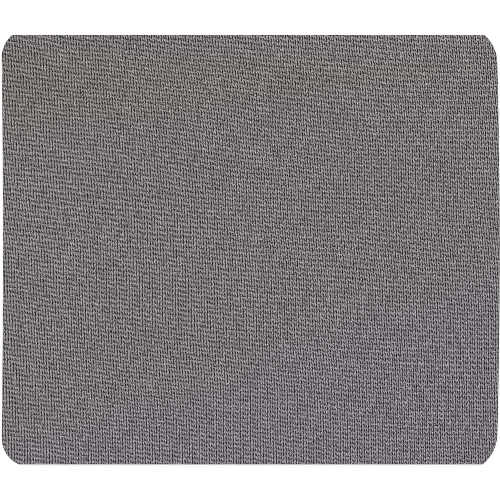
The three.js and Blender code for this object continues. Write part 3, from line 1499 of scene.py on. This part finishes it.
@dataclass(frozen=True)
class Studio:
    """The pale floor, the soft light and the camera over the pad.

    Attributes:
        lens: Focal length of the camera, in millimetres.
        sensor: Width of its sensor.
        near_clip: Metres from the camera at which it starts to see.
        film_filter: Width in pixels over which the film blends light, nearly as crisp as the photograph's.
        floor: Colour of the floor's paper.
        floor_size: Width and depth of the floor, in metres.
        floor_cuts: Cuts across the floor's mesh each way.
        floor_gap: How far it lies under the pad, in millimetres, so that their faces don't coincide.
        floor_roughness: Roughness of the paper.
        floor_glow: What the floor shows over the light that falls on it, to be white and keep a shadow.
        fill: Strength of the even light from all round.
        lamp_strength: Light of the soft lamp, in watts on a square metre.
        lamp_spread: Degrees of sky that the lamp fills, which softens its shadow.
        lamp_place: Where it shines from, in metres.
    """

    lens: float = 85.0
    sensor: float = 36.0
    near_clip: float = 0.01
    film_filter: float = 0.75
    floor: str = "#a8a8a8"
    floor_size: float = 6.0
    floor_cuts: int = 3
    floor_gap: float = 0.05
    floor_roughness: float = 0.9
    floor_glow: float = 0.66
    fill: float = 0.6
    lamp_strength: float = 1.3
    lamp_spread: float = 40.0
    lamp_place: tuple[float, float, float] = (-0.14, 0.14, 1.0)

    def build_floor(self) -> None:
        """Lays the white floor under the pad."""
        bpy.ops.object.select_all(action="DESELECT")
        bpy.ops.mesh.primitive_plane_add(size=self.floor_size, location=(0, 0, 0))
        floor = bpy.context.object
        floor.name = "studio_floor"
        bpy.ops.object.mode_set(mode="EDIT")
        bpy.ops.mesh.subdivide(number_cuts=self.floor_cuts)
        bpy.ops.transform.translate(value=(0, 0, -self.floor_gap * MM))
        bpy.ops.object.mode_set(mode="OBJECT")
        # Matt paper without a shine. Its glow makes it white to the eye and throws no light on the pad
        material, tree, shader = new_material("white paper floor")
        glow = {0: self.seen(tree), 1: self.floor_glow}
        finish = {
            "Base Color": to_linear(self.floor),
            "Roughness": self.floor_roughness,
            "Specular IOR Level": 0.0,
            "Emission Color": to_linear(WHITE),
            "Emission Strength": add_node(tree, "ShaderNodeMath", glow, operation="MULTIPLY"),
        }
        set_inputs(shader, finish)
        floor.data.materials.append(material)

    def seen(self, tree: bpy.types.NodeTree) -> bpy.types.Node:
        """Tells rays that show a surface from rays that light one.

        Args:
            tree: The node tree that asks.

        Returns:
            One for what the camera, a reflection or a clear piece shows, and zero for light.
        """
        path = add_node(tree, "ShaderNodeLightPath").outputs
        shown = {0: path["Is Camera Ray"], 1: path["Is Glossy Ray"]}
        shown = add_node(tree, "ShaderNodeMath", shown, operation="MAXIMUM")
        shown = {0: shown, 1: path["Is Transmission Ray"]}
        return add_node(tree, "ShaderNodeMath", shown, operation="MAXIMUM")

    def build_light(self) -> None:
        """Shines one wide soft lamp from the rear left and fills the rest with an even white world."""
        world = bpy.data.worlds.new("white studio")
        bpy.context.scene.world = world
        world.use_nodes = True
        tree = world.node_tree
        strength = {"Value": self.seen(tree), "To Min": self.fill, "To Max": 1.0}
        strength = add_node(tree, "ShaderNodeMapRange", strength)
        set_inputs(tree.nodes["Background"], {"Color": to_linear(WHITE), "Strength": strength})
        lamp = bpy.data.lights.new("soft_lamp", "SUN")
        lamp.angle = math.radians(self.lamp_spread)
        lamp.energy = self.lamp_strength
        holder = bpy.data.objects.new("soft_lamp", lamp)
        bpy.context.collection.objects.link(holder)
        holder.location = self.lamp_place
        holder.rotation_euler = (-Vector(self.lamp_place)).to_track_quat("-Z", "Y").to_euler()

    def build_camera(self, rim: float) -> None:
        """Sets the camera straight over the pad, framed as the photograph is.

        Args:
            rim: Height of the pad's widest line, in millimetres, at which the photograph's scale was taken.
        """
        camera = bpy.data.cameras.new("camera")
        camera.lens = self.lens
        camera.sensor_width = self.sensor
        camera.clip_start = self.near_clip
        view_width = PHOTO_SIZE * PHOTO_MM_PER_PIXEL
        distance = view_width * self.lens / self.sensor
        middle = PHOTO_SIZE / 2
        x = (middle - PHOTO_PAD_CENTRE[0]) * PHOTO_MM_PER_PIXEL
        y = (PHOTO_PAD_CENTRE[1] - middle) * PHOTO_MM_PER_PIXEL
        holder = bpy.data.objects.new("camera", camera)
        bpy.context.collection.objects.link(holder)
        holder.location = (x * MM, y * MM, (rim + distance) * MM)
        bpy.context.scene.camera = holder
        bpy.context.scene.cycles.filter_width = self.film_filter
        bpy.context.scene.cycles.use_denoising = False


def main() -> None:
    """Builds the pad's layers over the frame and sets the studio round them."""
    logging.basicConfig(level=logging.INFO, format="%(name)s: %(message)s")
    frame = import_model()
    LOG.info("frame holds %s", ", ".join(frame["nodes"]))
    bpy.context.scene.view_settings.view_transform = "Standard"
    die = DieCut()
    low, high = (np.array([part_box(node.value)[end].z / MM for node in Node]) for end in (0, 1))
    heights = dict(zip(Node, zip(low.tolist(), (high - low).tolist())))

    base = SpongeBase(die, heights[Node.SPONGE][1])
    sponge = base.build()
    base.dress(sponge)
    bond = BondFilm(die, *heights[Node.BOND])
    film = bond.build()
    bond.dress(film)
    cover = CoverCloth(die, *heights[Node.CLOTH])
    cloth = cover.build()
    cover.dress(cloth, film)
    for piece in (sponge, film, cloth):
        LOG.info("%s: %d points, %d faces", piece.name, len(piece.data.vertices), len(piece.data.polygons))

    studio = Studio()
    studio.build_floor()
    studio.build_light()
    studio.build_camera(sum(heights[Node.CLOTH]) - cover.rim_radius)
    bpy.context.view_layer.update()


if __name__ == "__main__":
    main()
